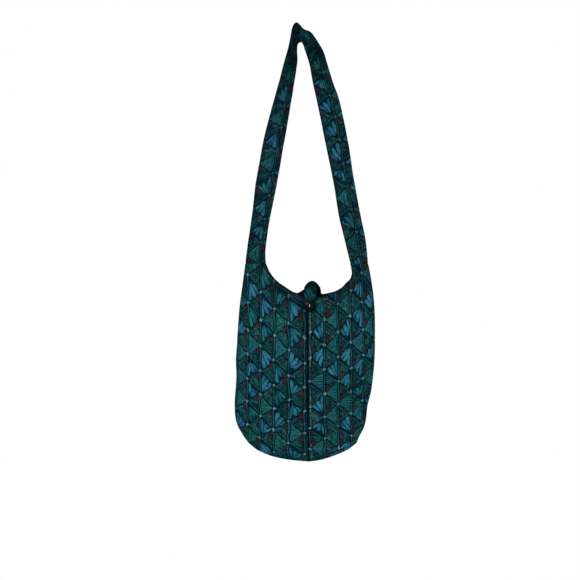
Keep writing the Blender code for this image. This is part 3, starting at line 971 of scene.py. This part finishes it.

    # Crackle and uneven dye, a painted shadow round the button, darker edges, painted highlights on the
    # creases and the stitched hem
    crack_inputs = {"Vector": place, "Scale": 3.2}
    crack = start.node("ShaderNodeTexVoronoi", {"feature": "DISTANCE_TO_EDGE"}, crack_inputs)
    from_button = (spot_x - BUTTON_X + 0.004).length_with(spot_z - BUTTON_Z)
    beside_seam = from_seam.line(0.0066, 0.0011, 0.0008) * spot_x.above(0.006) * (1 - on_strap)
    dashes = (rows * 4.2 + wander * 2.0).to_whole().rise(0.08, 0.20) * sway.rise(0.44, 0.58)
    # Painted shade towards the sides and the bottom, where the cloth turns away from the light, over the
    # print's own darker tone there
    near_side = from_side.rise(0.020, 0.001) * (0.20 + blotch.rise(0.62, 0.40) * 0.40)
    near_bottom = spot_z.rise(-1.058, -1.091) * (0.18 + blotch.rise(0.60, 0.42) * 0.45)
    near_mouth = from_mouth.rise(0.055, 0.004) * (0.30 + blotch.rise(0.36, 0.60) * 0.45)
    colour = layered(
        colour,
        (crack.rise(0.030, 0.006) * fine.rise(0.45, 0.7) * 0.5, ink),
        (fine.rise(0.54, 0.30) * 0.60, (0, 12, 18)),
        (fine.rise(0.56, 0.74) * 0.30, (76, 132, 140)),
        # Painted shadow round the button
        (from_button.rise(0.034, 0.013) * 0.68, (1, 15, 17)),
        (beside_seam * dashes * 0.36, (120, 142, 148)),
        (near_side.most(near_bottom), (4, 32, 34)),
        (near_mouth, (5, 24, 30)),
        (from_mouth.rise(0.0065, 0.0005) * 0.6, (8, 26, 34)),
    )
    # Pale painted highlights along the creases beside the button, on the front faces only
    for start_spot, end_spot, half in CREASE_HIGHLIGHTS:
        crease_shine = crease(spot_x, spot_z, start_spot, end_spot, half) * fine.rise(0.30, 0.60)
        colour = (crease_shine * from_front * 0.42).colour(colour, (92, 112, 122))
    stitch_beat = (rows * 20.0).to_whole().rise(0.14, 0.20)
    stitch = from_mouth.line(0.0072, 0.0003, 0.0003)
    colour = (stitch * stitch_beat * 0.8).colour(colour, (52, 84, 90))

    # Painted shade on the strap and the tab: both are darker, and the strap darkest up on its left side
    shadow = mottle.rise(0.40, 0.62).colour((1, 8, 17), (10, 28, 34))
    left_top = spot_x.rise(-0.008, -0.024) * spot_z.rise(-0.42, -0.04)
    # How much painted shade the strap and the tab take: the strap most up on its left side and near its
    # top, the tab on its top and back
    strap_shade = 0.20 + blotch.rise(0.60, 0.42) * 0.26 + left_top * 0.34 + spot_z.rise(-0.16, -0.03) * 0.28
    tab_shade = 0.38 + blotch.rise(0.56, 0.44) * 0.25 + from_end.rise(0.046, 0.018) * 0.34
    sewn = on_strap * from_end.rise(0.0030, 0.0008)
    colour = layered(
        colour,
        (on_tab * spot_x.rise(0.006, 0.016) * 0.55, (10, 62, 52)),
        (on_strap * strap_shade + on_tab * tab_shade, shadow),
        (sewn * 0.85, (3, 14, 20)),
    )

    # Weave and stitches as relief
    threads = PRINT_COLUMN / THREAD * math.pi
    weave = (columns * threads).sine() * (rows * (threads * PRINT_ROW / PRINT_COLUMN)).sine()
    bump = bump_of(start, weave * 0.5 + fine * 1.2 - stitch * 2.0 - sewn * 1.5, 0.35, 0.0004)
    connect(shader, Base_Color=colour, Roughness=0.80 + fine * 0.15, Normal=bump)
    return made


def dark_cotton():
    """Plain dark lining cotton."""
    made, shader, start = new_material("dark lining cotton", Specular_IOR_Level=0.0)
    place = object_place(start)
    cloud = noise_at(start, place, 38.0, 3.0)
    grain = noise_at(start, place, 900.0, 2.0)
    colour = cloud.rise(0.3, 0.7).colour((20, 17, 34), (32, 26, 46))
    colour = (grain.rise(0.4, 0.7) * 0.3).colour(colour, (46, 42, 62))
    weave = waves_at(start, place, "X", 420.0, 0.6) * waves_at(start, place, "Z", 420.0, 0.6)
    bump = bump_of(start, weave + grain, 0.3, 0.0003)
    connect(shader, Base_Color=colour, Roughness=0.84 + grain * 0.1, Normal=bump)
    return made


def coconut_shell():
    """Polished coconut shell, dark brown with pale fibres and a painted highlight at its upper left."""
    made, shader, start = new_material("coconut shell", Specular_IOR_Level=0.05)
    place = object_place(start)
    x, _, z = place.parts()
    stretched = start.node("ShaderNodeMapping", {}, {0: place, 3: (240.0, 240.0, 900.0)})
    fibre = noise_at(start, stretched, 1.0, 4.0, 0.6)
    cloud = noise_at(start, place, 260.0, 3.0)
    # Painted highlight on the shell's upper left, a reflection on its polish
    shell_highlight = (x - (BUTTON_X - 0.0062)).length_with(z - (BUTTON_Z + 0.0060)).rise(0.0048, 0.0020)
    colour = layered(
        cloud.rise(0.35, 0.65).colour((2, 2, 4), (8, 7, 9)),
        (fibre.rise(0.60, 0.74) * 0.3, (66, 52, 60)),
        (fibre.rise(0.42, 0.32) * 0.6, (18, 13, 12)),
        (shell_highlight * (0.35 + fibre * 0.7), (84, 62, 66)),
    )
    bump = bump_of(start, fibre, 0.25, 0.0002)
    connect(shader, Base_Color=colour, Roughness=0.28 + fibre * 0.22, Normal=bump)
    return made


def twisted(name, low, high, pitch, roughness):
    """Twisted thread or cord between two colours."""
    made, shader, start = new_material(name, Specular_IOR_Level=0.2)
    place = object_place(start)
    turned = start.node("ShaderNodeMapping", {}, {0: place, 2: (0.0, math.radians(38), 0.0)})
    ply = waves_at(start, turned, "Z", pitch, 0.8)
    fuzz = noise_at(start, place, 1400.0, 3.0)
    colour = (ply * 0.7 + fuzz * 0.3).rise(0.2, 0.8).colour(low, high)
    bump = bump_of(start, ply + fuzz * 0.4, 0.6, 0.0004)
    connect(shader, Base_Color=colour, Roughness=roughness + fuzz * 0.1, Normal=bump)
    return made


cotton = printed_cotton()
lining_cotton = dark_cotton()
shell = coconut_shell()
pale_thread = twisted("pale thread", (176, 180, 176), (232, 236, 236), 420.0, 0.55)
grey_cord = twisted("grey green cord", (66, 92, 88), (132, 164, 158), 260.0, 0.7)


def finish_piece(piece, paint, node):
    """Gives a piece its finish and its place on the bag, and hides the CAD part it stands for."""
    piece.data.materials.append(paint)
    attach(piece, "root")
    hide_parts(node)


# Panels
for (side, face), (_, prints, edges, seams) in panels.items():
    word = f"{FACE_WORDS[face]}_panel_{SIDE_WORDS[side]}"
    faces = grid_faces(COLUMNS, ROWS, side * face < 0)
    panel = new_piece(f"{word}_cloth", grids[side, face], faces)
    add_maps(panel, prints, edges, seams)
    hem = panel.vertex_groups.new(name="hem")
    for index, (from_mouth, _) in enumerate(edges):
        fade = (from_mouth - HEM_DEPTH[0]) / (HEM_DEPTH[1] - HEM_DEPTH[0])
        hem.add([index], 1 - smooth(fade), "REPLACE")
    thicken(panel, HEM_CLOTH, 1, "hem", CLOTH / HEM_CLOTH)
    finish_piece(panel, cotton, word)


# Linings
def lining_half(side, face):
    """A panel's points, moved inwards to where the lining hangs, less its outermost rows."""
    table = grids[side, face].reshape(ROWS + 1, COLUMNS + 1, 3).copy()
    inward = np.maximum(-face * table[:, :, 1] - CLOTH - LINING_GAP, LINING_SHALLOWEST)
    table[:, :, 1] = -face * inward
    table[:, :, 0] += -side * LINING_SIDE_GAP * (np.arange(COLUMNS + 1) / COLUMNS) ** 8
    table[BODY_ROWS:, :, 2] -= LINING_TOP_DROP
    below, above = LINING_SKIPS
    return table[below : ROWS - above]


for face in (1, -1):
    points, faces = [], []
    for side in (-1, 1):
        table = lining_half(side, face)
        first = len(points)
        points.extend(table.reshape(-1, 3))
        for quad in grid_faces(COLUMNS, table.shape[0] - 1, side * face < 0):
            faces.append(tuple(first + corner for corner in quad))
    lining = new_piece(f"{FACE_WORDS[face]}_lining_cloth", points, faces)
    joined = lining.modifiers.new("Joined", "WELD")
    joined.merge_threshold = LINING_JOIN
    thicken(lining, LINING_CLOTH, 0)
    finish_piece(lining, lining_cotton, f"{FACE_WORDS[face]}_lining")


# Strap
both_edges = through([inner + outer for inner, outer in STRAP_STATIONS])


def strap_edges(share):
    """The strap's inner and its outer edge at a share of its length, kept between 0 and 1."""
    both = both_edges(min(1, max(0, share)))
    return Vector(both[:3]), Vector(both[3:])


def strap_middle(share):
    inner, outer = strap_edges(share)
    return (inner + outer) / 2


def strap_marks():
    """Stations along the strap at even steps, with the distance of each from the left foot."""
    line = [strap_middle(step / 400) for step in range(401)]
    along = [0]
    for a, b in zip(line, line[1:]):
        along.append(along[-1] + (b - a).length)
    count = round(along[-1] / STRAP_STEP)
    shares = np.interp(np.linspace(0, along[-1], count + 1), along, np.linspace(0, 1, 401))
    return shares, along[-1]


# Steps round the strap's doubled cloth, front first: the angle, and how far across it is from -1 to 1
STRAP_ROUND = []
for step in range(STRAP_AROUND):
    angle = 2 * math.pi * step / STRAP_AROUND
    wide = abs(math.cos(angle)) ** STRAP_SQUARE[0]
    STRAP_ROUND.append((angle, math.copysign(wide, -math.cos(angle))))


def strap_ring(share, distance, total):
    """The points round the strap's doubled cloth at a station, front first."""
    inner, outer = strap_edges(share)
    along = (strap_middle(share + 0.002) - strap_middle(share - 0.002)).normalized()
    side = (outer - inner).normalized()
    front = side.cross(along)
    if front.y > 0.3 or abs(front.y) <= 0.3 and front.z < 0:
        front = -front
    front.normalize()
    half = (outer - inner).length / 2
    centre = (inner + outer) / 2
    bunch = smooth((STRAP_WIDTH * 1.02 - 2 * half) / (STRAP_WIDTH * 0.5))
    top = smooth(1 - abs(distance / total - 0.5) / STRAP_TOP)
    end = smooth(min(distance, total - distance) / STRAP_END)
    drift = STRAP_DRIFT * math.sin(distance / DRIFT_LENGTH) + DRIFT_START
    points = []
    for angle, wide in STRAP_ROUND:
        thick = abs(math.sin(angle)) ** STRAP_SQUARE[1] * STRAP_HALF_THICK
        thick = math.copysign(thick, math.sin(angle))
        fold = math.sin(math.pi * STRAP_FOLDS * wide + drift)
        wave = STRAP_FOLD_HEIGHT * (0.25 * bunch + 0.75 * top) * fold * (1 - 0.5 * abs(wide) ** 3)
        wave += STRAP_ARCH * top * (1 - wide * wide)
        for height, across, length, seed in STRAP_WAVES:
            wave += height * noise.noise(Vector((wide * across, distance / length, seed)))
        spread = STRAP_SPREAD * noise.noise(Vector((2.2, distance / SPREAD_LENGTH, 1.0 + wide)))
        points.append(centre + side * (half * wide * (1 + spread)) + front * (thick + wave * end))
    return points


def strap_piece(first, last, marks, total, node):
    """A length of the strap between two of its stations."""
    turn, start_u, start_v = STRAP_PRINTS[node]
    width = STRAP_WIDTH / PRINT_COLUMN
    points, places, borders = [], [], []
    for index in range(first, last + 1):
        distance = total * index / (len(marks) - 1)
        points += strap_ring(marks[index], distance, total)
        border = min(index - first, last - index) * STRAP_STEP
        for angle, wide in STRAP_ROUND:
            spot = wide * STRAP_WIDTH / 2 / PRINT_COLUMN
            spot = width - spot if angle > math.pi else spot
            places.append((start_u + turn * spot, start_v + turn * (distance / PRINT_ROW)))
            borders.append((1.0, border))
    faces = []
    for a in range((last - first) * STRAP_AROUND):
        b = a - STRAP_AROUND + 1 if (a + 1) % STRAP_AROUND == 0 else a + 1
        faces.append((a, b, b + STRAP_AROUND, a + STRAP_AROUND))
    piece = new_piece(f"{node}_cloth", points, faces)
    add_maps(piece, places, borders, [(1.0, ON_STRAP)] * len(points))
    layer = piece.data.uv_layers["print"]
    for polygon in piece.data.polygons:
        steps = [index % STRAP_AROUND for index in polygon.vertices]
        if 0 in steps and STRAP_AROUND - 1 in steps:
            for loop, step in zip(polygon.loop_indices, steps):
                if step == 0:
                    layer.data[loop].uv.x += 2 * width * turn
    turn_outwards(piece)
    thicken(piece, CLOTH, 1)
    finish_piece(piece, cotton, node)
    return piece


marks, strap_length = strap_marks()
count = len(marks) - 1
join = next(index for index in range(count // 2, count) if strap_middle(marks[index]).z < STRAP_JOIN_Z)
long_strap = strap_piece(0, join, marks, strap_length, "strap_left")
short_strap = strap_piece(join, count, marks, strap_length, "strap_right")
long_flat = (STRAP_FLAT_WIDTH, strap_length * join / count)
short_flat = (STRAP_FLAT_WIDTH, strap_length * (1 - join / count))


# Tab
def tab_depth(x, z):
    """Distance from the middle plane to the panel's outer face near the mouth."""
    return depth_at(min(1, abs(x) / 0.165), z)


def tab_point(across, along):
    """A point on the tab's outer face, up behind the mouth, over, and down on the front."""
    sideways = 2 * across - 1
    turn_z = MOUTH_Z + TAB_TURN
    outside = TAB_OUTSIDE + TAB_CLOTH
    crown = TAB_CROWN * (1 - sideways**2)
    ruck = TAB_RUCK * noise.noise(Vector((across * 2.2, along * 5.0, 3.3)))
    half = (1 - TAB_NARROWING * smooth((along - 0.5) / 0.5)) * TAB_WIDTH / 2
    if along < TAB_LEAVES:
        x = TAB_BACK_X + sideways * TAB_WIDTH / 2
        z = lerp(MOUTH_Z - TAB_ROOT, turn_z, along / TAB_LEAVES)
        return Vector((x, tab_depth(x, z) - TAB_INSIDE, z))
    if along < TAB_TURNS:
        t = (along - TAB_LEAVES) / (TAB_TURNS - TAB_LEAVES)
        s = 1 - t
        x = lerp(TAB_BACK_X, TAB_FRONT_X, smooth(t)) + sideways * half
        back_y = tab_depth(TAB_BACK_X, turn_z) - TAB_INSIDE
        front_y = -tab_depth(TAB_FRONT_X, turn_z) - outside - crown
        rise = (TAB_HEIGHT - TAB_TURN) / 0.75 * (1 - TAB_EDGE_DROOP * abs(sideways) ** 2.4)
        weights = (s**3, 3 * s * s * t, 3 * s * t * t, t**3)
        depths = (back_y, back_y + TAB_LEANS[0], front_y - TAB_LEANS[1], front_y)
        levels = (turn_z, turn_z + rise, turn_z + rise, turn_z)
        y = sum(weight * depth for weight, depth in zip(weights, depths))
        z = sum(weight * level for weight, level in zip(weights, levels))
        return Vector((x, y - ruck, z + ruck))
    share = (along - TAB_TURNS) / (1 - TAB_TURNS)
    x = TAB_FRONT_X + sideways * half
    end_z = MOUTH_Z - TAB_END + TAB_END_ROUND * abs(sideways) ** 3
    z = lerp(turn_z, end_z, share)
    return Vector((x, -tab_depth(x, z) - outside - crown * (1 - 0.6 * share) - ruck, z))


tab_points, tab_prints, tab_edges = [], [], []
for row in range(TAB_ROWS + 1):
    for column in range(TAB_COLUMNS + 1):
        across, along = column / TAB_COLUMNS, row / TAB_ROWS
        tab_points.append(tab_point(across, along))
        tab_prints.append(np.array((across, along)) * TAB_PRINT_SCALE + TAB_PRINT_START)
        tab_edges.append((1.0, (along - 0.5) * TAB_LENGTH))
tab = new_piece("closing_tab_cloth", tab_points, grid_faces(TAB_COLUMNS, TAB_ROWS, True))
add_maps(tab, tab_prints, tab_edges, [(1.0, ON_TAB)] * len(tab_points))
thicken(tab, TAB_CLOTH, 1)
finish_piece(tab, cotton, "closing_tab")

# Pieces that keep their CAD shape
for node, paint in (("button", shell), ("button_thread", pale_thread), ("loop_cord", grey_cord)):
    for place in bpy.data.objects[node].material_slots:
        place.material = paint

# Camera, light and floor
scene = bpy.context.scene
scene.view_settings.view_transform = "Standard"
camera_data = bpy.data.cameras.new("camera")
camera_data.sensor_width = SENSOR
camera_data.lens = SENSOR * CAMERA_DISTANCE / (PIXEL * FRAME_PIXELS)
camera = bpy.data.objects.new("camera", camera_data)
frame_middle = FRAME_PIXELS / 2
camera.location.x = (frame_middle - MIDDLE_PIXEL) * PIXEL
camera.location.y = -CAMERA_DISTANCE
camera.location.z = (SUPPORT_PIXEL - frame_middle) * PIXEL
camera.rotation_euler = (math.pi / 2, 0, 0)
scene.collection.objects.link(camera)
scene.camera = camera

for name, spot, size, watts, tint in LAMPS:
    lamp_data = bpy.data.lights.new(name, "AREA")
    lamp_data.shape = "DISK"
    lamp_data.size = size
    lamp_data.energy = watts
    lamp_data.color = tint
    lamp = bpy.data.objects.new(name, lamp_data)
    lamp.location = spot
    lamp.rotation_euler = (Vector(LAMP_TARGET) - Vector(spot)).to_track_quat("-Z", "Y").to_euler()
    scene.collection.objects.link(lamp)

world = bpy.data.worlds.new("studio")
scene.world = world
world.use_nodes = True
air = Wire(world.node_tree, None).node("ShaderNodeLightPath")
seen = air.beside("Is Camera Ray").most(air.beside("Is Glossy Ray"))
seen = seen.most(air.beside("Is Transmission Ray"))
background = world.node_tree.nodes["Background"]
background.inputs["Color"].default_value = (1, 1, 1, 1)
connect(background, Strength=seen * (1 - AMBIENT) + AMBIENT)

bpy.ops.object.select_all(action="DESELECT")
bpy.ops.mesh.primitive_plane_add(size=FLOOR_SIZE, location=(0, 0, FLOOR_Z))
floor = bpy.context.active_object
floor.name = "floor"
bpy.ops.object.transform_apply(location=True, rotation=True, scale=True)
paper, paper_shader, paper_start = new_material("pale paper", Roughness=0.9)
paper_shader.inputs["Base Color"].default_value = (0.80, 0.80, 0.80, 1)
paper_shader.inputs["Emission Strength"].default_value = FLOOR_GLOW
sight = paper_start.node("ShaderNodeLightPath")
connect(paper_shader, Emission_Color=sight.colour((0, 0, 0), (255, 255, 255)))
floor.data.materials.append(paper)
